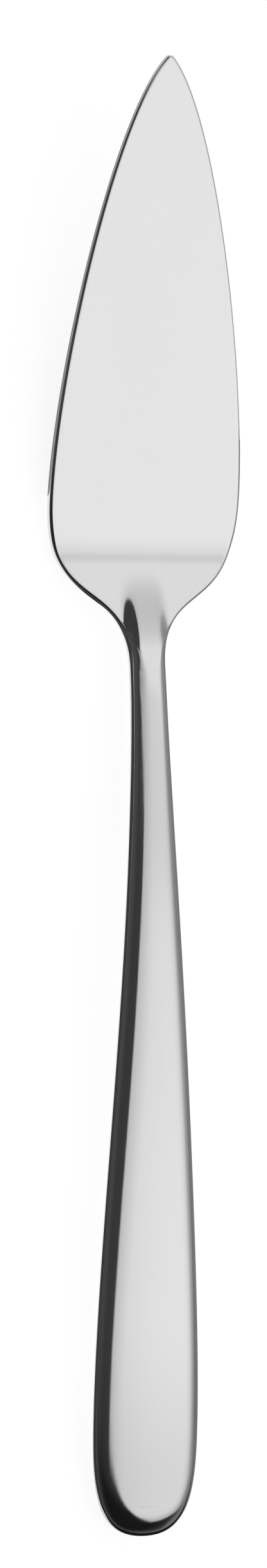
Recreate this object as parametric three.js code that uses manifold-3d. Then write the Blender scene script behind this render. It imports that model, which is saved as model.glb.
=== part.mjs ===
// Fish knife: a cranked leaf blade whose tang is cemented into a slim hollow handle.
// Millimetres. X runs across the knife, Y from the handle's end to the tip, Z up from the table.
import * as THREE from 'three';
import { mergeVertices } from 'three/addons/utils/BufferGeometryUtils.js';
import Module from 'manifold-3d';

const wasm = await Module();
wasm.setup();

// Lengths along the knife
const HANDLE_LENGTH = 120.5; // from the handle's end to the stem's waist, where handle and blade meet
const SHOULDER_LENGTH = 23.8; // from the waist to the blade's widest line
const BLADE_LENGTH = 60.7; // from the widest line to the tip
const HANDLE_WIDEST_AT = 16.2; // from the handle's end

// Widths, and the round of the tip
const HANDLE_WIDTH = 15.4;
const STEM_WIDTH = 5.3;
const BLADE_WIDTH = 28.2;
const TIP_RADIUS = 0.8;
const TIP_ANGLE = 48; // degrees between the axis' square and the edge where the tip's round begins

// Sweeps: how far each curve of the outline keeps the direction it starts or ends with
const END_SWEEP = 7;
const HEEL_SWEEP = 10;
const TAPER_SWEEP = 25.2;
const STEM_SWEEP = 27.8;
const NECK_SWEEP = 13.2;
const SHOULDER_SWEEP = 17.2;
const BELLY_SWEEP = 17.5;
const POINT_SWEEP = 10.6;

// Side profile: the blade and the neck meet in the crank, the neck bends over into the handle in the arch
const BLADE_TILT = 10; // degrees above the table
const NECK_RISE = 7.4; // degrees above the table
const NECK_STEP = 1; // extra fall of the neck where it bends down to the shoulder
const NECK_STEP_START = -4; // beyond the waist
const NECK_STEP_END = 15; // beyond the waist
const CRANK_FROM_WAIST = 16.4;
const CRANK_REACH = 2.3; // before and beyond its middle
const ARCH_FROM_WAIST = 25.3;
const ARCH_REACH = 49; // before and beyond its middle

// Thicknesses and edge rounds
const HANDLE_THICKNESS = 4;
const STEM_THICKNESS = 3.6;
const BLADE_THICKNESS = 1.5;
const TIP_THICKNESS = 1;
const HANDLE_EDGE = 4.4;
const STEM_EDGE = 2.3;
const BLADE_EDGE = 0.6;
const FACE_CROWN = 5; // degrees of slope where the handle's upper face meets its edge round
const STEM_CROWN = 3; // the same on the narrow stem
const BACK_CROWN = 2; // the same on the lower face
const TAPER_START = 62; // before the waist, where the handle begins to thin
const TAPER_END = 0; // before the waist, where it has the stem's thickness
const THINNING_START = -2; // beyond the waist, where the stem's flanks begin to thin into the blade
const THINNING_END = 6; // beyond the waist, where they have run out

// Rib: the stem runs on over the shoulder as a rib that sinks into the blade before the crank
const RIB_FADE_START = 2.5; // beyond the waist
const RIB_FADE_END = 14.5; // beyond the waist
const RIB_TOP_WIDTH = 2.4;
const RIB_FOOT_WIDTH = 7.4;

// Handle construction
const WALL = 0.6;
const SEAM_GAP = 0.3;
const NECK_GAP = 0.3;
const BRAZE_CLEARANCE = 0.05;
const FILLER_CLEARANCE = 0.1;
const TANG_LENGTH = 62;
const TANG_FIT = 0.6; // cement between the tang's root and the handle's wall
const TANG_TIP_WIDTH = 1.6;
const TANG_TIP_THICKNESS = 1.2;
const TANG_ROOT = 1.5; // how far the tang's root is drawn out of the stem
const SOCKET_CLEARANCE = 0.1;

// Facets
const END_STEPS = 9;
const SIDE_STEPS = 16;
const SHOULDER_STEPS = 26;
const BELLY_STEPS = 14;
const TIP_STEPS = 3;
const EDGE_STEPS = 6;
const UPPER_FACE_STEPS = 6;
const LOWER_FACE_STEPS = 2;
const TANG_STEPS = 14;
const TANG_SIDES = 12;
const MERGE_DISTANCE = 1e-5;

const { smoothstep, lerp, clamp, degToRad } = THREE.MathUtils;

const waistAt = HANDLE_LENGTH;
const widestAt = waistAt + SHOULDER_LENGTH;
const length = widestAt + BLADE_LENGTH;
const crankAt = waistAt + CRANK_FROM_WAIST;
const archAt = waistAt - ARCH_FROM_WAIST;
const bladeSlope = Math.tan(degToRad(BLADE_TILT));
const neckSlope = Math.tan(degToRad(NECK_RISE));

// Section sizes along the knife
const neckShare = (y) => smoothstep(y, waistAt + THINNING_START, waistAt + THINNING_END);
const taperShare = (y) => smoothstep(y, waistAt - TAPER_START, waistAt - TAPER_END);

function bladeHalf(y) {
  const alongBlade = clamp((y - crankAt) / (length - crankAt), 0, 1);
  return lerp(BLADE_THICKNESS, TIP_THICKNESS, alongBlade) / 2;
}

function halfThickness(y) {
  const handleHalf = lerp(HANDLE_THICKNESS, STEM_THICKNESS, taperShare(y)) / 2;
  return lerp(handleHalf, bladeHalf(y), neckShare(y));
}

function edgeRound(y) {
  const handle = lerp(HANDLE_EDGE, STEM_EDGE, taperShare(y));
  return lerp(handle, BLADE_EDGE, neckShare(y));
}

// How far the rib stands above the shoulder's face at the middle of the knife
function ribHeight(y) {
  const fade = smoothstep(y, waistAt + RIB_FADE_START, waistAt + RIB_FADE_END);
  const top = lerp(STEM_THICKNESS / 2, bladeHalf(y), fade);
  return Math.max(0, top - halfThickness(y));
}

const ribShape = (x) => 1 - smoothstep(Math.abs(x), RIB_TOP_WIDTH / 2, RIB_FOOT_WIDTH / 2);

// Side profile. A corner of two straight lines is eased over its reach: before it this adds nothing,
// past it the whole distance, and between them the slope follows a smooth step.
function eased(distance, reach) {
  const share = clamp((distance + reach) / (2 * reach), 0, 1);
  return Math.max(distance - reach, 0) + 2 * reach * (share ** 3 - share ** 4 / 2);
}

// The handle falls just so far that its heel and the crank lie on the same table
const heelAt = HANDLE_EDGE;
const crankDrop = (bladeSlope + neckSlope) * eased(0, CRANK_REACH);
const neckClimb = neckSlope * (crankAt - heelAt) + NECK_STEP - crankDrop;
const heelDrop = halfThickness(heelAt) - halfThickness(crankAt);
const archReach = eased(archAt - heelAt, ARCH_REACH) - eased(archAt - crankAt, ARCH_REACH);
const archTurn = (neckClimb - heelDrop) / archReach;

function centreHeight(y) {
  const crank = (bladeSlope + neckSlope) * eased(crankAt - y, CRANK_REACH);
  const step = NECK_STEP * (1 - smoothstep(y, waistAt + NECK_STEP_START, waistAt + NECK_STEP_END));
  const arch = archTurn * eased(archAt - y, ARCH_REACH);
  return bladeSlope * (y - crankAt) + crank + step - arch;
}

// Plan outline of one side, from the handle's end round to the tip
const point = (x, y) => new THREE.Vector2(x, y);
const tipCentre = length - TIP_RADIUS;
const tipTurn = degToRad(TIP_ANGLE);
const tipStart = point(TIP_RADIUS * Math.sin(tipTurn), tipCentre + TIP_RADIUS * Math.cos(tipTurn));
const tipLead = point(Math.cos(tipTurn), -Math.sin(tipTurn)).multiplyScalar(POINT_SWEEP).add(tipStart);
const handleSide = HANDLE_WIDTH / 2;
const stemSide = STEM_WIDTH / 2;
const bladeSide = BLADE_WIDTH / 2;

const handleEnd = new THREE.CubicBezierCurve(
  point(0, 0),
  point(END_SWEEP, 0),
  point(handleSide, HANDLE_WIDEST_AT - HEEL_SWEEP),
  point(handleSide, HANDLE_WIDEST_AT),
);
const handleTaper = new THREE.CubicBezierCurve(
  point(handleSide, HANDLE_WIDEST_AT),
  point(handleSide, HANDLE_WIDEST_AT + TAPER_SWEEP),
  point(stemSide, waistAt - STEM_SWEEP),
  point(stemSide, waistAt),
);
const shoulder = new THREE.CubicBezierCurve(
  point(stemSide, waistAt),
  point(stemSide, waistAt + NECK_SWEEP),
  point(bladeSide, widestAt - SHOULDER_SWEEP),
  point(bladeSide, widestAt),
);
const belly = new THREE.CubicBezierCurve(
  point(bladeSide, widestAt),
  point(bladeSide, widestAt + BELLY_SWEEP),
  tipLead,
  tipStart,
);
const tip = new THREE.ArcCurve(0, tipCentre, TIP_RADIUS, Math.PI / 2 - tipTurn, Math.PI / 2);

// A place on the outline: where it is, which way is inward, and the section's sizes there
function placeAt(at, inward) {
  const edge = edgeRound(at.y);
  const faceY = at.y + inward.y * edge;
  const faceShare = (at.x + inward.x * edge) / (handleSide - HANDLE_EDGE);
  const faceCrown = lerp(FACE_CROWN * faceShare, STEM_CROWN, taperShare(at.y));
  const share = 1 - neckShare(at.y);
  return {
    x: at.x,
    y: at.y,
    inward,
    edge,
    half: halfThickness(faceY),
    rib: ribHeight(faceY),
    faceCrown: Math.tan(degToRad(faceCrown * share)),
    backCrown: Math.tan(degToRad(BACK_CROWN * share)),
  };
}

function placesAlong(curve, steps) {
  return Array.from({ length: steps }, (unused, step) => {
    const along = curve.getTangent(step / steps);
    return placeAt(curve.getPoint(step / steps), point(-along.y, along.x));
  });
}

const waist = placeAt(point(stemSide, waistAt), point(-1, 0));
const mouth = placeAt(point(stemSide, waistAt - NECK_GAP), point(-1, 0));
const handlePlaces = [
  placeAt(point(0, 0), point(0, 1)),
  ...placesAlong(handleEnd, END_STEPS).slice(1),
  ...placesAlong(handleTaper, SIDE_STEPS),
  mouth,
];
const bladePlaces = [
  waist,
  ...placesAlong(shoulder, SHOULDER_STEPS).slice(1),
  ...placesAlong(belly, BELLY_STEPS),
  ...placesAlong(tip, TIP_STEPS),
  placeAt(point(0, length), point(0, -1)),
];

// Sections. An inset section lies inside the skin by that much, as a wall's inner side does.
const mirrored = (p) => new THREE.Vector3(-p.x, p.y, p.z);

function edgePoint(place, angle, upper, inset) {
  const depth = place.edge - (place.edge - inset) * Math.cos(angle);
  const x = place.x + place.inward.x * depth;
  const y = place.y + place.inward.y * depth;
  const half = place.half - inset + (upper ? place.rib * ribShape(x) : 0);
  const rise = half * Math.sin(angle);
  return new THREE.Vector3(x, y, centreHeight(y) + (upper ? rise : -rise));
}

// One face of a section, from the right rim over the crown to the left rim
function faceArch(place, upper, inset, rimHeight) {
  const half = place.half - inset;
  const rimAngle = Math.asin(rimHeight / half);
  const crown = upper ? place.faceCrown : place.backCrown;
  const brimAngle = Math.atan2(half, (place.edge - inset) * crown);
  const right = [];
  for (let step = 0; step <= EDGE_STEPS; step += 1) {
    right.push(edgePoint(place, lerp(rimAngle, brimAngle, step / EDGE_STEPS), upper, inset));
  }
  const brim = right.at(-1);
  const steps = upper ? UPPER_FACE_STEPS : LOWER_FACE_STEPS;
  for (let step = 1; step <= steps; step += 1) {
    const x = brim.x * (1 - step / steps);
    const ribbed = half + (upper ? place.rib * ribShape(x) : 0);
    const bulge = (crown * (brim.x - (x * x) / Math.max(brim.x, MERGE_DISTANCE))) / 2;
    const rise = ribbed * Math.sin(brimAngle) + bulge;
    right.push(new THREE.Vector3(x, brim.y, centreHeight(brim.y) + (upper ? rise : -rise)));
  }
  return [...right, ...right.slice(0, -1).reverse().map(mirrored)];
}

function skinRing(place, inset) {
  const upper = faceArch(place, true, inset, 0);
  const lower = faceArch(place, false, inset, 0);
  return [...upper, ...lower.reverse().slice(1, -1)];
}

function shellRing(place, upper) {
  const outer = faceArch(place, upper, 0, SEAM_GAP / 2);
  const inner = faceArch(place, upper, WALL, SEAM_GAP / 2);
  return [...outer, ...inner.reverse()];
}

function ribbonRing(place, side) {
  const height = SEAM_GAP / 2 - BRAZE_CLEARANCE;
  const corners = [[0, -height], [WALL, -height], [WALL, height], [0, height]];
  return corners.map(([depth, lift]) => {
    const x = place.x + place.inward.x * depth;
    const y = place.y + place.inward.y * depth;
    return new THREE.Vector3(side * x, y, centreHeight(y) + lift);
  });
}

function tangRing(share, grow) {
  const y = waistAt + TANG_ROOT - share * (TANG_ROOT + TANG_LENGTH + grow);
  const width = lerp(STEM_WIDTH / 2 - WALL - TANG_FIT, TANG_TIP_WIDTH / 2, share) + grow;
  const height = lerp(STEM_THICKNESS / 2 - WALL - TANG_FIT, TANG_TIP_THICKNESS / 2, share) + grow;
  return Array.from({ length: TANG_SIDES }, (unused, side) => {
    const turn = (2 * Math.PI * side) / TANG_SIDES;
    return new THREE.Vector3(width * Math.cos(turn), y, centreHeight(y) + height * Math.sin(turn));
  });
}

// A closed skin over rings of equal count. A ring that lies flat on the axis plane closes by itself.
function loft(rings, flatEnds) {
  const count = rings[0].length;
  const faces = [];
  for (let ring = 0; ring + 1 < rings.length; ring += 1) {
    for (let step = 0; step < count; step += 1) {
      const here = ring * count + step;
      const next = ring * count + ((step + 1) % count);
      faces.push([here, next, next + count], [here, next + count, here + count]);
    }
  }
  flatEnds.forEach((ring) => {
    const contour = rings[ring].map((p) => point(p.x, p.z));
    const outward = THREE.ShapeUtils.isClockWise(contour) ? 1 : -1;
    const facing = ring === 0 ? outward : -outward;
    THREE.ShapeUtils.triangulateShape(contour, []).forEach((face) => {
      const corners = face.map((corner) => ring * count + corner);
      faces.push(facing > 0 ? corners : corners.reverse());
    });
  });
  return solidGeometry(rings.flat().flatMap((p) => p.toArray()), faces.flat());
}

// Shared vertices merged, collapsed triangles dropped, faces turned outward
function solidGeometry(positions, index) {
  const loose = new THREE.BufferGeometry();
  loose.setAttribute('position', new THREE.Float32BufferAttribute(positions, 3));
  loose.setIndex(index);
  const geometry = mergeVertices(loose, MERGE_DISTANCE);
  const at = geometry.getAttribute('position');
  const corner = (vertex) => new THREE.Vector3().fromBufferAttribute(at, vertex);
  const kept = [];
  let volume = 0;
  for (let i = 0; i < geometry.index.count; i += 3) {
    const [a, b, c] = [0, 1, 2].map((step) => geometry.index.getX(i + step));
    if (a !== b && b !== c && c !== a) {
      kept.push(a, b, c);
      volume += corner(a).dot(corner(b).cross(corner(c)));
    }
  }
  geometry.setIndex(volume < 0 ? kept.reverse() : kept);
  return geometry;
}

function solid(geometry) {
  return new wasm.Manifold(new wasm.Mesh({
    numProp: 3,
    vertProperties: new Float32Array(geometry.getAttribute('position').array),
    triVerts: new Uint32Array(geometry.index.array),
  }));
}

function geometryOf(manifold) {
  const mesh = manifold.getMesh();
  const geometry = new THREE.BufferGeometry();
  geometry.setAttribute('position', new THREE.Float32BufferAttribute(mesh.vertProperties, 3));
  geometry.setIndex(Array.from(mesh.triVerts));
  return geometry;
}

// Sub-parts
function tang(grow) {
  const rings = Array.from({ length: TANG_STEPS + 1 }, (unused, step) => tangRing(step / TANG_STEPS, grow));
  return solid(loft(rings, [0, TANG_STEPS]));
}

function blade() {
  const leaf = loft(bladePlaces.map((place) => skinRing(place, 0)), [0]);
  return geometryOf(solid(leaf).add(tang(0)));
}

function handleShell(upper) {
  return loft(handlePlaces.map((place) => shellRing(place, upper)), [handlePlaces.length - 1]);
}

function fillerCore() {
  const inset = WALL + FILLER_CLEARANCE;
  const core = loft(handlePlaces.map((place) => skinRing(place, inset)), [handlePlaces.length - 1]);
  return geometryOf(solid(core).subtract(tang(SOCKET_CLEARANCE)));
}

function seamBraze() {
  const rightSide = handlePlaces.map((place) => ribbonRing(place, 1)).reverse();
  const leftSide = handlePlaces.slice(1).map((place) => ribbonRing(place, -1));
  const rings = [...rightSide, ...leftSide];
  return loft(rings, [0, rings.length - 1]);
}

function neckBraze() {
  const ring = skinRing(waist, 0);
  const across = (p) => point(p.x, p.z);
  const outline = new THREE.Shape(ring.map(across));
  const share = TANG_ROOT / (TANG_ROOT + TANG_LENGTH + SOCKET_CLEARANCE);
  outline.holes.push(new THREE.Path(tangRing(share, SOCKET_CLEARANCE).map(across)));
  const depth = NECK_GAP - 2 * BRAZE_CLEARANCE;
  const plate = new THREE.ExtrudeGeometry(outline, { depth, bevelEnabled: false });
  plate.rotateX(Math.PI / 2);
  plate.translate(0, waistAt - BRAZE_CLEARANCE, 0);
  return plate;
}

const steel = { color: 0xd9dadb, roughness: 0.12, metalness: 1 };
const braze = { color: 0xd2cec2, roughness: 0.3, metalness: 1 };
const cement = { color: 0x8f897c, roughness: 0.9, metalness: 0 };

function piece(name, geometry, finish) {
  const mesh = new THREE.Mesh(geometry, new THREE.MeshStandardMaterial(finish));
  mesh.name = name;
  return mesh;
}

const knife = new THREE.Group();
knife.add(
  piece('blade', blade(), steel),
  piece('handle_face_shell', handleShell(true), steel),
  piece('handle_back_shell', handleShell(false), steel),
  piece('seam_braze', seamBraze(), braze),
  piece('neck_braze', neckBraze(), braze),
  piece('filler_core', fillerCore(), cement),
);

// The origin is on the table, under the middle of the knife
const box = new THREE.Box3().setFromObject(knife);
knife.position.set(0, -length / 2, -box.min.z);

export default knife;
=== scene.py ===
"""Fish knife in polished steel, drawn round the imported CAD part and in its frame."""

from collections import namedtuple
from math import asin, atan2, cos, pi, radians, sin, tan

import bmesh
import bpy
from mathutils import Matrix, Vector


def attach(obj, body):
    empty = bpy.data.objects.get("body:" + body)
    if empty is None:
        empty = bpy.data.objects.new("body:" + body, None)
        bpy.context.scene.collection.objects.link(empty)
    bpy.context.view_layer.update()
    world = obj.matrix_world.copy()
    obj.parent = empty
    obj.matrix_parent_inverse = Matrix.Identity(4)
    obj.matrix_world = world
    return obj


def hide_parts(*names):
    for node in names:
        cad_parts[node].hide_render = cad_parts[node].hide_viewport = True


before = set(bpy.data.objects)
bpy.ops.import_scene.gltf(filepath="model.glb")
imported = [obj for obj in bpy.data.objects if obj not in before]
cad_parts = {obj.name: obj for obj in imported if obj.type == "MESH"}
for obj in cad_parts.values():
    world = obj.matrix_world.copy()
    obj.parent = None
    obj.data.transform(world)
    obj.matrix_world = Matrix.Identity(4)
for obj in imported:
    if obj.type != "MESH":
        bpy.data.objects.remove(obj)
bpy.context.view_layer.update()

MM = 0.001

# Lengths along the knife, in millimetres from the handle's end
HANDLE_LENGTH = 120.5  # to the stem's waist, where handle and blade meet
SHOULDER_LENGTH = 23.8  # from the waist to the blade's widest line
BLADE_LENGTH = 60.7  # from the widest line to the tip
HANDLE_WIDEST_AT = 16.2

# Widths, and the round of the tip with its angle in degrees
HANDLE_WIDTH = 15.4
STEM_WIDTH = 5.3
BLADE_WIDTH = 28.2
TIP_RADIUS = 0.8
TIP_ANGLE = 48

# How far each curve of the outline keeps the direction it starts or ends with
END_SWEEP = 7
HEEL_SWEEP = 10
TAPER_SWEEP = 25.2
STEM_SWEEP = 27.8
NECK_SWEEP = 13.2
SHOULDER_SWEEP = 17.2
BELLY_SWEEP = 17.5
POINT_SWEEP = 10.6

# Side profile, with its slopes in degrees
BLADE_TILT = 10
NECK_RISE = 7.4
NECK_STEP = 1  # extra climb in the bend of the neck, and where beyond the waist it starts and ends
NECK_STEP_START = -4
NECK_STEP_END = 15
CRANK_FROM_WAIST = 16.4
CRANK_REACH = 2.3
ARCH_FROM_WAIST = 25.3
ARCH_REACH = 49

# Thicknesses, edge rounds, and the faces' crowns in degrees
HANDLE_THICKNESS = 4.0
STEM_THICKNESS = 3.6
BLADE_THICKNESS = 1.5
TIP_THICKNESS = 1
HANDLE_EDGE = 4.4
STEM_EDGE = 2.3
BLADE_EDGE = 0.6
FACE_CROWN = 5
STEM_CROWN = 3
BACK_CROWN = 2
TAPER_START = 62  # before the waist, where the handle begins to turn into the stem
TAPER_END = 0  # and where it has become the stem
THINNING_START = -2  # beyond the waist, where the stem's flanks begin to thin into the blade
THINNING_END = 6  # and where they have run out

# Rib of the neck, and where beyond the waist it begins to sink and has sunk
RIB_FADE_START = 2.5
RIB_FADE_END = 14.5
RIB_TOP_WIDTH = 2.4
RIB_FOOT_WIDTH = 7.4

# Handle construction
WALL = 0.6
SEAM_GAP = 0.3
NECK_GAP = 0.3
TANG_LENGTH = 62
TANG_FIT = 0.6
TANG_TIP_WIDTH = 1.6
TANG_TIP_THICKNESS = 1.2

# Mesh density
END_ROWS = 40
TAPER_ROWS = 90
SHOULDER_ROWS = 110
BELLY_ROWS = 90
TIP_ROWS = 10
TANG_ROWS = 20
EDGE_COLUMNS = 14
FACE_COLUMNS = 28
WELD = 1e-8  # metres
LEAST_BRIM = 1e-8  # so that nothing is divided by zero where a section closes to a point
CREASE = radians(35)

waist_at = HANDLE_LENGTH
widest_at = waist_at + SHOULDER_LENGTH
knife_length = widest_at + BLADE_LENGTH
crank_at = waist_at + CRANK_FROM_WAIST
arch_at = waist_at - ARCH_FROM_WAIST
blade_slope = tan(radians(BLADE_TILT))
neck_slope = tan(radians(NECK_RISE))


def clamp(value):
    return min(1.0, max(0.0, value))


def mix(start, end, share):
    return start + (end - start) * share


def smooth_step(value, start, end):
    share = clamp((value - start) / (end - start))
    return share * share * (3 - 2 * share)


# Section sizes along the knife
def neck_share(y):
    return smooth_step(y, waist_at + THINNING_START, waist_at + THINNING_END)


def taper_share(y):
    return smooth_step(y, waist_at - TAPER_START, waist_at - TAPER_END)


def blade_half(y):
    return mix(BLADE_THICKNESS, TIP_THICKNESS, clamp((y - crank_at) / (knife_length - crank_at))) / 2


def half_thickness(y):
    handle_half = mix(HANDLE_THICKNESS, STEM_THICKNESS, taper_share(y)) / 2
    return mix(handle_half, blade_half(y), neck_share(y))


def edge_round(y):
    return mix(mix(HANDLE_EDGE, STEM_EDGE, taper_share(y)), BLADE_EDGE, neck_share(y))


def rib_height(y):
    fade = smooth_step(y, waist_at + RIB_FADE_START, waist_at + RIB_FADE_END)
    return max(0.0, mix(STEM_THICKNESS / 2, blade_half(y), fade) - half_thickness(y))


def rib_shape(x):
    return 1 - smooth_step(abs(x), RIB_TOP_WIDTH / 2, RIB_FOOT_WIDTH / 2)


def rib_at(place, x, face):
    return place.rib * rib_shape(x) if face > 0 else 0


# Side profile: a corner of two straight lines, eased over its reach
def eased(distance, reach):
    share = clamp((distance + reach) / (2 * reach))
    return max(distance - reach, 0.0) + 2 * reach * (share**3 - share**4 / 2)


heel_at = HANDLE_EDGE
crank_drop = (blade_slope + neck_slope) * eased(0, CRANK_REACH)
neck_climb = neck_slope * (crank_at - heel_at) + NECK_STEP - crank_drop
heel_drop = half_thickness(heel_at) - half_thickness(crank_at)
arch_turn = (neck_climb - heel_drop) / (
    eased(arch_at - heel_at, ARCH_REACH) - eased(arch_at - crank_at, ARCH_REACH)
)


def centre_height(y):
    crank = (blade_slope + neck_slope) * eased(crank_at - y, CRANK_REACH)
    step = NECK_STEP * (1 - smooth_step(y, waist_at + NECK_STEP_START, waist_at + NECK_STEP_END))
    return blade_slope * (y - crank_at) + crank + step - arch_turn * eased(arch_at - y, ARCH_REACH)


# Plan outline of the right side, from the handle's end round to the tip
handle_side = HANDLE_WIDTH / 2
stem_side = STEM_WIDTH / 2
blade_side = BLADE_WIDTH / 2
tip_turn = radians(TIP_ANGLE)
tip_centre = knife_length - TIP_RADIUS
tip_start = Vector((TIP_RADIUS * sin(tip_turn), tip_centre + TIP_RADIUS * cos(tip_turn)))
tip_lead = tip_start + POINT_SWEEP * Vector((cos(tip_turn), -sin(tip_turn)))

handle_end = (
    Vector((0, 0)),
    Vector((END_SWEEP, 0)),
    Vector((handle_side, HANDLE_WIDEST_AT - HEEL_SWEEP)),
    Vector((handle_side, HANDLE_WIDEST_AT)),
)
handle_taper = (
    Vector((handle_side, HANDLE_WIDEST_AT)),
    Vector((handle_side, HANDLE_WIDEST_AT + TAPER_SWEEP)),
    Vector((stem_side, waist_at - STEM_SWEEP)),
    Vector((stem_side, waist_at)),
)
shoulder = (
    Vector((stem_side, waist_at)),
    Vector((stem_side, waist_at + NECK_SWEEP)),
    Vector((blade_side, widest_at - SHOULDER_SWEEP)),
    Vector((blade_side, widest_at)),
)
belly = (
    Vector((blade_side, widest_at)),
    Vector((blade_side, widest_at + BELLY_SWEEP)),
    tip_lead,
    tip_start,
)

Place = namedtuple("Place", "x y inward edge half rib face_crown back_crown")


def place_at(at, inward):
    edge = edge_round(at.y)
    face_y = at.y + inward.y * edge
    face_share = (at.x + inward.x * edge) / (handle_side - HANDLE_EDGE)
    face_crown = mix(FACE_CROWN * face_share, STEM_CROWN, taper_share(at.y))
    share = 1 - neck_share(at.y)
    return Place(
        at.x,
        at.y,
        inward,
        edge,
        half_thickness(face_y),
        rib_height(face_y),
        tan(radians(face_crown * share)),
        tan(radians(BACK_CROWN * share)),
    )


def places_along(curve, rows):
    first, lead, trail, last = curve
    places = []
    for row in range(rows):
        t = row / rows
        at = (
            first * (1 - t) ** 3
            + lead * (3 * t * (1 - t) ** 2)
            + trail * (3 * t * t * (1 - t))
            + last * t**3
        )
        along = (
            (lead - first) * (1 - t) ** 2
            + (trail - lead) * (2 * t * (1 - t))
            + (last - trail) * t * t
        ).normalized()
        places.append(place_at(at, Vector((-along.y, along.x))))
    return places


def places_round_tip():
    places = []
    for row in range(TIP_ROWS):
        turn = mix(pi / 2 - tip_turn, pi / 2, row / TIP_ROWS)
        outward = Vector((cos(turn), sin(turn)))
        places.append(place_at(Vector((0, tip_centre)) + TIP_RADIUS * outward, -outward))
    return places


mouth_at = waist_at - NECK_GAP
waist = place_at(Vector((stem_side, waist_at)), Vector((-1, 0)))
mouth = place_at(Vector((stem_side, mouth_at)), Vector((-1, 0)))
handle_places = [
    place_at(Vector((0, 0)), Vector((0, 1))),
    *places_along(handle_end, END_ROWS)[1:],
    *[place for place in places_along(handle_taper, TAPER_ROWS) if place.y < mouth_at],
    mouth,
]
blade_places = [
    waist,
    *places_along(shoulder, SHOULDER_ROWS)[1:],
    *places_along(belly, BELLY_ROWS),
    *places_round_tip(),
    place_at(Vector((0, knife_length)), Vector((0, -1))),
]


# Sections. An inset section lies inside the skin by that much, as a wall's inner side does.
def in_from_edge(place, depth):
    return place.x + place.inward.x * depth, place.y + place.inward.y * depth


def edge_point(place, angle, face, inset):
    x, y = in_from_edge(place, place.edge - (place.edge - inset) * cos(angle))
    half = place.half - inset + rib_at(place, x, face)
    return Vector((x, y, centre_height(y) + face * half * sin(angle)))


def mirrored(point):
    return Vector((-point.x, point.y, point.z))


def face_arch(place, face, inset, rim_height):
    """One face of a section, from the right rim over its crown to the left rim."""
    half = place.half - inset
    crown = place.face_crown if face > 0 else place.back_crown
    rim_angle = asin(rim_height / half)
    brim_angle = atan2(half, (place.edge - inset) * crown)
    right = []
    for column in range(EDGE_COLUMNS + 1):
        angle = mix(rim_angle, brim_angle, column / EDGE_COLUMNS)
        right.append(edge_point(place, angle, face, inset))
    brim = right[-1]
    for column in range(1, FACE_COLUMNS + 1):
        x = brim.x * (1 - column / FACE_COLUMNS)
        bulge = crown * (brim.x - x * x / max(brim.x, LEAST_BRIM)) / 2
        rise = (half + rib_at(place, x, face)) * sin(brim_angle) + bulge
        right.append(Vector((x, brim.y, centre_height(brim.y) + face * rise)))
    return right + [mirrored(point) for point in reversed(right[:-1])]


def skin_ring(place, inset=0):
    return face_arch(place, 1, inset, 0) + face_arch(place, -1, inset, 0)[-2:0:-1]


def shell_ring(place, face):
    outer = face_arch(place, face, 0, SEAM_GAP / 2)
    return outer + face_arch(place, face, WALL, SEAM_GAP / 2)[::-1]


def seam_ring(place, side):
    ring = []
    for depth, lift in ((0, -1), (WALL, -1), (WALL, 1), (0, 1)):
        x, y = in_from_edge(place, depth)
        ring.append(Vector((side * x, y, centre_height(y) + lift * SEAM_GAP / 2)))
    return ring


def tang_ring(share, count):
    y = waist_at - share * TANG_LENGTH
    width = mix(STEM_WIDTH / 2 - WALL - TANG_FIT, TANG_TIP_WIDTH / 2, share)
    height = mix(STEM_THICKNESS / 2 - WALL - TANG_FIT, TANG_TIP_THICKNESS / 2, share)
    turns = [2 * pi * column / count for column in range(count)]
    return [Vector((width * cos(turn), y, centre_height(y) + height * sin(turn))) for turn in turns]


def loft(rings):
    """A closed skin: a grid whose rows are laid on the rings, welded, with its open ends filled."""
    count = len(rings[0])
    skin = bmesh.new()
    bmesh.ops.create_grid(skin, x_segments=count, y_segments=len(rings) - 1, size=1)
    for index, vertex in enumerate(skin.verts):
        row, column = divmod(index, count + 1)
        vertex.co = (rings[row][column % count] + to_table) * MM
    bmesh.ops.remove_doubles(skin, verts=skin.verts, dist=WELD)
    bmesh.ops.holes_fill(skin, edges=[edge for edge in skin.edges if edge.is_boundary])
    bmesh.ops.recalc_face_normals(skin, faces=skin.faces)
    for face in skin.faces:
        face.smooth = True
    return skin


# The part's origin is on the table, under the middle of the knife
lowest = min(point.z for place in handle_places + blade_places for point in skin_ring(place))
to_table = Vector((0, -knife_length / 2, -lowest))


class Wire:
    """A node's output that takes part in Python arithmetic."""

    def __init__(self, tree, socket):
        self.tree = tree
        self.socket = socket

    def math(self, operation, left, right):
        return add_node(self.tree, "ShaderNodeMath", {"operation": operation}, {0: left, 1: right})

    def __add__(self, other):
        return self.math("ADD", self, other)

    def __radd__(self, other):
        return self.math("ADD", other, self)

    def __sub__(self, other):
        return self.math("SUBTRACT", self, other)

    def __rsub__(self, other):
        return self.math("SUBTRACT", other, self)

    def __mul__(self, other):
        return self.math("MULTIPLY", self, other)

    def __rmul__(self, other):
        return self.math("MULTIPLY", other, self)

    def __truediv__(self, other):
        return self.math("DIVIDE", self, other)

    def __rtruediv__(self, other):
        return self.math("DIVIDE", other, self)

    def at_least(self, bound):
        return self.math("MAXIMUM", self, bound)

    def at_most(self, bound):
        return self.math("MINIMUM", self, bound)

    def step(self, start, end, low=0.0, high=1.0):
        """This value turned smoothly from low to high as it goes from start to end."""
        settings = {"interpolation_type": "SMOOTHSTEP"}
        sockets = {"Value": self, "From Min": start, "From Max": end, "To Min": low, "To Max": high}
        return add_node(self.tree, "ShaderNodeMapRange", settings, sockets)


def add_node(tree, kind, settings, sockets, output=0):
    """A node with its settings made first, then its sockets filled with values or wires."""
    node = tree.nodes.new(kind)
    for name, value in settings.items():
        setattr(node, name, value)
    for name, value in sockets.items():
        if isinstance(value, Wire):
            tree.links.new(value.socket, node.inputs[name])
        else:
            node.inputs[name].default_value = value
    return Wire(tree, node.outputs[output]) if node.outputs else None


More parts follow.
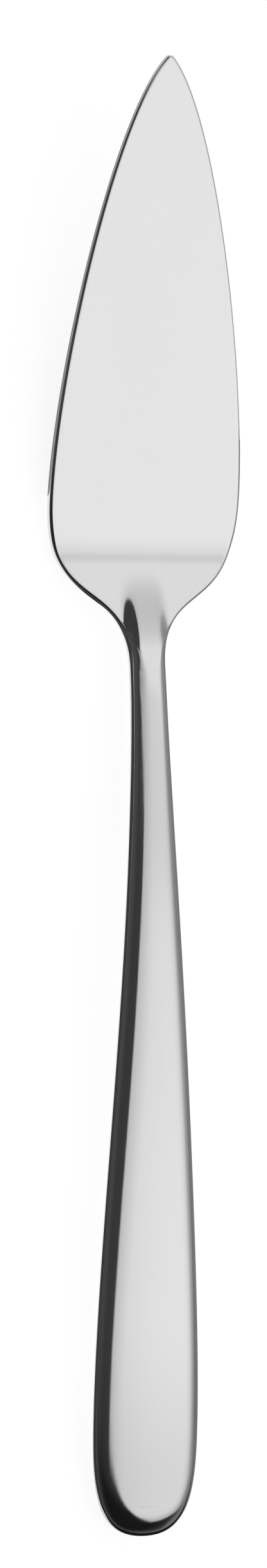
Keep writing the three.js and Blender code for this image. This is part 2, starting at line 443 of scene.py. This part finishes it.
def new_material(name):
    material = bpy.data.materials.new(name)
    material.use_nodes = True
    material.node_tree.nodes.clear()
    return material, material.node_tree


def close_material(tree, surface):
    add_node(tree, "ShaderNodeOutputMaterial", {}, {"Surface": surface})


def object_place(tree):
    return add_node(tree, "ShaderNodeTexCoord", {}, {}, "Object")


def noise(tree, per_metre, detail):
    """Noise in the piece's own coordinates, with so many grains to the metre along each axis."""
    sockets = {"Vector": object_place(tree), "Scale": per_metre}
    place = add_node(tree, "ShaderNodeMapping", {"vector_type": "POINT"}, sockets)
    sockets = {"Vector": place, "Scale": 1.0, "Detail": detail}
    return add_node(tree, "ShaderNodeTexNoise", {"noise_dimensions": "3D"}, sockets)


# A Mix node's colour sockets, by place because its number sockets have the same names
MIX_SHARE = 0
MIX_FIRST = 6
MIX_SECOND = 7
MIX_RESULT = 2


def mixed_colour(tree, blend, share, first, second):
    settings = {"data_type": "RGBA", "blend_type": blend}
    sockets = {MIX_SHARE: share, MIX_FIRST: first, MIX_SECOND: second}
    return add_node(tree, "ShaderNodeMix", settings, sockets, MIX_RESULT)


# Polish of the metal. A ramp says where it starts and ends, and then what it gives there.
STEEL_COLOUR = (0.80, 0.80, 0.795, 1)
STEEL_ROUGHNESS = 0.09
BRAZE_COLOUR = (0.80, 0.795, 0.785, 1)
BRAZE_ROUGHNESS = 0.11
CLOUDS_PER_METRE = (90, 45, 90)
CLOUD_DETAIL = 3.0
CLOUD_TONE = (0.3, 0.7, 0.985, 1.0)
CLOUD_ROUGHNESS = (0.3, 0.7, -0.02, 0.03)
HAIRLINES_PER_METRE = (5200, 70, 5200)
HAIRLINE_DETAIL = 2.0
HAIRLINE_ROUGHNESS = (0.4, 0.75, -0.01, 0.02)
HAIRLINE_STRENGTH = 0.05
HAIRLINE_DEPTH = 0.02  # millimetres
SPECKS_PER_METRE = (2600, 2600, 2600)
SPECK_DETAIL = 2.0
SPECK_TONE = (0.66, 0.74, 1.0, 0.97)
PAINTED_END_SHADE_LENGTH = 32.5  # of the handle's end, where the metal's colour is darkened as painted shade
PAINTED_END_SHADE_TONE = 0.82


def polished_metal(name, colour, roughness):
    """Bright polish with clouds of wiping, hairlines along the knife, fine specks, and painted shade
    that darkens the colour toward the handle's end.
    """
    material, tree = new_material(name)
    clouds = noise(tree, CLOUDS_PER_METRE, CLOUD_DETAIL)
    hairlines = noise(tree, HAIRLINES_PER_METRE, HAIRLINE_DETAIL)
    specks = noise(tree, SPECKS_PER_METRE, SPECK_DETAIL)
    along = add_node(tree, "ShaderNodeSeparateXYZ", {}, {0: object_place(tree)}, "Y")
    end_y = to_table.y * MM
    # Painted shade: the metal's colour darkens toward the handle's end, standing in for the overhead
    # light falling off there.
    painted_end_shade = along.step(end_y, end_y + PAINTED_END_SHADE_LENGTH * MM, PAINTED_END_SHADE_TONE, 1.0)
    tone = painted_end_shade * clouds.step(*CLOUD_TONE) * specks.step(*SPECK_TONE)
    grey = add_node(tree, "ShaderNodeCombineColor", {}, {0: tone, 1: tone, 2: tone})
    rough = roughness + clouds.step(*CLOUD_ROUGHNESS) + hairlines.step(*HAIRLINE_ROUGHNESS)
    sockets = {"Strength": HAIRLINE_STRENGTH, "Distance": HAIRLINE_DEPTH * MM, "Height": hairlines}
    bump = add_node(tree, "ShaderNodeBump", {}, sockets)
    sockets = {
        "Base Color": mixed_colour(tree, "MULTIPLY", 1.0, colour, grey),
        "Metallic": 1.0,
        "Roughness": rough,
        "Normal": bump,
    }
    close_material(tree, add_node(tree, "ShaderNodeBsdfPrincipled", {}, sockets))
    return material


# Cement in the handle
CEMENT_DARK = (0.2, 0.19, 0.16, 1)
CEMENT_PALE = (0.36, 0.34, 0.3, 1)
CEMENT_PER_METRE = (1800, 1800, 1800)
CEMENT_DETAIL = 4.0
CEMENT_ROUGHNESS = (0.2, 0.8, 0.8, 0.95)
CEMENT_STRENGTH = 0.4
CEMENT_DEPTH = 0.1  # millimetres


def handle_cement(name):
    """The grey filler round the tang: grains and small pores."""
    material, tree = new_material(name)
    grain = noise(tree, CEMENT_PER_METRE, CEMENT_DETAIL)
    sockets = {"Strength": CEMENT_STRENGTH, "Distance": CEMENT_DEPTH * MM, "Height": grain}
    bump = add_node(tree, "ShaderNodeBump", {}, sockets)
    sockets = {
        "Base Color": mixed_colour(tree, "MIX", grain, CEMENT_DARK, CEMENT_PALE),
        "Roughness": grain.step(*CEMENT_ROUGHNESS),
        "Normal": bump,
    }
    close_material(tree, add_node(tree, "ShaderNodeBsdfPrincipled", {}, sockets))
    return material


steel = polished_metal("polished_steel", STEEL_COLOUR, STEEL_ROUGHNESS)
braze = polished_metal("silver_braze", BRAZE_COLOUR, BRAZE_ROUGHNESS)
cement = handle_cement("handle_cement")


def piece(name, skin, node, finish):
    mesh = bpy.data.meshes.new(name)
    skin.to_mesh(mesh)
    skin.free()
    mesh.set_sharp_from_angle(angle=CREASE)
    mesh.materials.append(finish)
    shown = bpy.data.objects.new(name, mesh)
    bpy.context.scene.collection.objects.link(shown)
    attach(shown, "root")
    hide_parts(node)


waist_ring = skin_ring(waist)
tang_rings = [tang_ring(1 - row / TANG_ROWS, len(waist_ring)) for row in range(TANG_ROWS + 1)]
leaf_rings = [skin_ring(place) for place in blade_places]
piece("leaf_blade", loft(tang_rings + leaf_rings), "blade", steel)

face_rings = [shell_ring(place, 1) for place in handle_places]
piece("handle_face", loft(face_rings), "handle_face_shell", steel)

back_rings = [shell_ring(place, -1) for place in handle_places]
piece("handle_back", loft(back_rings), "handle_back_shell", steel)

right_seam = [seam_ring(place, 1) for place in reversed(handle_places)]
left_seam = [seam_ring(place, -1) for place in handle_places[1:]]
piece("handle_seam", loft(right_seam + left_seam), "seam_braze", braze)

tang_at_neck = [tang_ring(share, len(waist_ring)) for share in (0, NECK_GAP / TANG_LENGTH)]
neck_rings = [tang_at_neck[0], waist_ring, skin_ring(mouth), tang_at_neck[1], tang_at_neck[0]]
piece("neck_joint", loft(neck_rings), "neck_braze", braze)

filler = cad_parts["filler_core"]
filler.data.materials.clear()
filler.data.materials.append(cement)

# Camera: over the knife, leaning to its left, with the tip at the top of the picture
VIEW_LEAN = 20  # degrees
PICTURE_HEIGHT = 218.2
VIEW_ACROSS = -0.72
VIEW_ALONG = 2.03
LENS = 200
SENSOR = 36
lean = radians(VIEW_LEAN)
toward_camera = Vector((-sin(lean), 0, cos(lean)))
picture_right = Vector((cos(lean), 0, sin(lean)))
aim = picture_right * VIEW_ACROSS + Vector((0, VIEW_ALONG, 0))
lens = bpy.data.cameras.new("view")
lens.lens = LENS
lens.sensor_width = SENSOR
camera = bpy.data.objects.new("view", lens)
camera.location = (aim + toward_camera * PICTURE_HEIGHT * LENS / SENSOR) * MM
camera.rotation_euler = (0, -lean, 0)
bpy.context.scene.collection.objects.link(camera)
bpy.context.scene.camera = camera

# Floor: pale paper, lifted to white for the camera and in reflections
FLOOR_REACH = 30  # metres
FLOOR_COLOUR = (0.35, 0.35, 0.35, 1)
FLOOR_LIFT = 0.88
tabletop = bmesh.new()
bmesh.ops.create_grid(tabletop, x_segments=1, y_segments=1, size=FLOOR_REACH)
floor_mesh = bpy.data.meshes.new("floor")
tabletop.to_mesh(floor_mesh)
tabletop.free()
floor = bpy.data.objects.new("floor", floor_mesh)
bpy.context.scene.collection.objects.link(floor)
paper, paper_tree = new_material("white_paper")
camera_ray = add_node(paper_tree, "ShaderNodeLightPath", {}, {}, "Is Camera Ray")
glossy_ray = add_node(paper_tree, "ShaderNodeLightPath", {}, {}, "Is Glossy Ray")
glass_ray = add_node(paper_tree, "ShaderNodeLightPath", {}, {}, "Is Transmission Ray")
lifted = (camera_ray + glossy_ray + glass_ray) * FLOOR_LIFT
matt = add_node(paper_tree, "ShaderNodeBsdfDiffuse", {}, {"Color": FLOOR_COLOUR})
lift = add_node(paper_tree, "ShaderNodeEmission", {}, {"Strength": lifted})
close_material(paper_tree, add_node(paper_tree, "ShaderNodeAddShader", {}, {0: matt, 1: lift}))
floor_mesh.materials.append(paper)

# Grey cards on the table round the knife, which its flanks mirror and the camera doesn't see
CARD_LIFT = 0.02  # millimetres, as all sizes of the cards are
CARD_REACH = 3000
CARDS_FROM = -104  # along the knife, from its middle
CARDS_NARROW_FROM = -50
SHOULDER_AT = 28
LEFT_BLADE_CARD_FROM = 42
RIGHT_BLADE_CARD_TO = 50
CARDS_TO = 130
BESIDE_HANDLE = 10.5
BESIDE_NECK = 6.5
LEFT_GREY = 0.13
RIGHT_GREY = 0.6
BLADE_GREY = 0.9
END_GREY = 0.03


def card(name, corners, grey):
    sheet = bmesh.new()
    outline = [sheet.verts.new(Vector((x, y, CARD_LIFT)) * MM) for x, y in corners]
    bmesh.ops.contextual_create(sheet, geom=outline)
    mesh = bpy.data.meshes.new(name)
    sheet.to_mesh(mesh)
    sheet.free()
    material, tree = new_material(name)
    matt_grey = add_node(tree, "ShaderNodeBsdfDiffuse", {}, {"Color": (grey, grey, grey, 1)})
    close_material(tree, matt_grey)
    mesh.materials.append(material)
    shown = bpy.data.objects.new(name, mesh)
    bpy.context.scene.collection.objects.link(shown)
    shown.visible_camera = False
    shown.visible_diffuse = False
    shown.visible_shadow = False


def beside_handle(side):
    return [
        (side * CARD_REACH, CARDS_FROM),
        (side * BESIDE_HANDLE, CARDS_FROM),
        (side * BESIDE_HANDLE, CARDS_NARROW_FROM),
        (side * BESIDE_NECK, SHOULDER_AT),
        (side * CARD_REACH, SHOULDER_AT),
    ]


def oblong(left, right, start, end):
    return [(left, start), (right, start), (right, end), (left, end)]


card("left_card", beside_handle(-1), LEFT_GREY)
card("right_card", beside_handle(1), RIGHT_GREY)
card("blade_left_card", oblong(-CARD_REACH, 0, LEFT_BLADE_CARD_FROM, CARDS_TO), BLADE_GREY)
card("blade_right_card", oblong(0, CARD_REACH, SHOULDER_AT, RIGHT_BLADE_CARD_TO), BLADE_GREY)
card("end_card", oblong(-CARD_REACH, CARD_REACH, -CARD_REACH, CARDS_FROM), END_GREY)

# Studio light, by how far a ray goes to the right and toward the tip for each unit that it rises
WHITE = (1, 1, 1, 1)
LEAST_RISE = 0.02

# Edge of the light overhead: straight on the left, turning away toward the tip, curved at the end
LEFT_EDGE = 0.29
LEFT_EDGE_BLUR = (-0.05, 0.05)
LEFT_TURN_AT = 0.13
LEFT_TURN = 4
END_EDGE = 0.22
END_CURVE = 1.05
END_EDGE_LIMIT = 0.92
END_EDGE_BLUR = (-0.06, 0.06)
FAR_RIGHT = 1.2
FAR_RIGHT_SPREAD = 0.2
NOTCH_START = (0.25, 0.33)
NOTCH_SIDE = (0.0, -0.11)
NOTCH_END = (1.6, 1.2)

# Pale walls beyond the light: on the right, on the left toward the tip, and low at the rear right
RIGHT_WALL = (2.6, 5.0, 0.0, 0.4)
LEFT_WALL_SLANT = 0.45
LEFT_WALL_FOOT = (0.1, 0.3)
LEFT_WALL_SIDE = (-0.8, -1.0, 0.0, 0.8)
REAR_WALL_FOOT = (2.4, 4.6)
REAR_WALL_SLANT = 0.5
REAR_WALL_SIDE = (0.5, 1.2, 0.0, 0.4)

# How the light falls off within its edge, and the dim seam across its middle
LEFT_FALL = (-0.45, 0.5, 0.66, 1.0)
RIGHT_FALL = (0.85, 3.0, 1.0, 0.41)
FAR_RIGHT_FALL = (2.5, 7.0, 1.0, 0.7)
REAR_RIGHT_SLANT = 0.12
REAR_RIGHT_LIFT = (-0.2, -0.3, 0.0, 0.3)
END_FALL = (-0.34, -0.02, 1.0, 0.9)
FAR_END_FALL = (-1.0, -0.45, 0.6, 1.0)
TIP_FALL = (0.36, 0.82, 1.0, 0.7)
TIP_FALL_SPREADS_AT = 1.0
TIP_FALL_SPREAD = 0.8
SEAM_START = (-0.02, 0.12)
SEAM_END = (0.3, 0.18, 0.0, 0.14)

# What is left where no light or wall is
GLOOM = (-0.5, -0.15, 0.012, 0.046)
LEFT_GLOOM = (-0.8, -2.2, 0.0, 0.025)
RIGHT_GLOOM = (0.6, 1.6, 0.0, 0.03)
REAR_GLOOM = (-0.4, -0.8)
LOW_GLOOM = (0.4, 0.0, 0.0, 0.06)

studio = bpy.data.worlds.new("studio")
studio.use_nodes = True
sky = studio.node_tree
sky.nodes.clear()
ray = add_node(sky, "ShaderNodeTexCoord", {}, {}, "Generated")
across = add_node(sky, "ShaderNodeSeparateXYZ", {}, {0: ray}, "X")
along = add_node(sky, "ShaderNodeSeparateXYZ", {}, {0: ray}, "Y")
up = add_node(sky, "ShaderNodeSeparateXYZ", {}, {0: ray}, "Z")
rise = up.at_least(LEAST_RISE)
right_way = across / rise
tip_way = along / rise

left_room = (right_way + LEFT_EDGE).at_least(0)
end_limit = (right_way - FAR_RIGHT).at_least(0) * FAR_RIGHT_SPREAD + END_EDGE_LIMIT
end_room = (left_room * left_room * END_CURVE + END_EDGE).at_most(end_limit)
within_end = (tip_way + end_room).step(*END_EDGE_BLUR)
left_turn = (tip_way - LEFT_TURN_AT).at_least(0) * LEFT_TURN
within_left = (right_way + LEFT_EDGE + left_turn).step(*LEFT_EDGE_BLUR)
notch = tip_way.step(*NOTCH_START) * right_way.step(*NOTCH_SIDE) * tip_way.step(*NOTCH_END)
outside = 1 - within_end * within_left * (1 - notch)

right_wall = right_way.step(*RIGHT_WALL)
left_foot = (tip_way + right_way * LEFT_WALL_SLANT).step(*LEFT_WALL_FOOT)
left_wall = left_foot * right_way.step(*LEFT_WALL_SIDE)
rear_side = (right_way + tip_way * REAR_WALL_SLANT).step(*REAR_WALL_SIDE)
rear_wall = (right_way - tip_way).step(*REAR_WALL_FOOT) * rear_side
shade = outside * (1 - right_wall) * (1 - left_wall) * (1 - rear_wall)

left_fall = right_way.step(*LEFT_FALL)
right_fall = right_way.step(*RIGHT_FALL) * right_way.step(*FAR_RIGHT_FALL)
rear_right = (tip_way + right_way * REAR_RIGHT_SLANT).step(*REAR_RIGHT_LIFT)
lifted_right = right_fall + (1 - right_fall) * rear_right
end_fall = tip_way.step(*END_FALL) * tip_way.step(*FAR_END_FALL)
tip_spread = 1 + (right_way - TIP_FALL_SPREADS_AT).at_least(0) * TIP_FALL_SPREAD
tip_fall = (tip_way / tip_spread).step(*TIP_FALL)
seam = 1 - tip_way.step(*SEAM_START) * tip_way.step(*SEAM_END)
glow = left_fall * lifted_right * end_fall * tip_fall * seam

rear_gloom = tip_way.step(*REAR_GLOOM) * up.step(*LOW_GLOOM)
side_gloom = right_way.step(*LEFT_GLOOM) + right_way.step(*RIGHT_GLOOM)
gloom = tip_way.step(*GLOOM) + side_gloom + rear_gloom

# Mirrored rays meet that light, and the camera sees a white studio
level = (1 - shade) * glow + shade * gloom
seen = add_node(sky, "ShaderNodeLightPath", {}, {}, "Is Camera Ray")
sockets = {"Color": WHITE, "Strength": level + seen * (1 - level)}
background = add_node(sky, "ShaderNodeBackground", {}, sockets)
add_node(sky, "ShaderNodeOutputWorld", {}, {"Surface": background})
bpy.context.scene.world = studio

bpy.context.scene.view_settings.view_transform = "Standard"
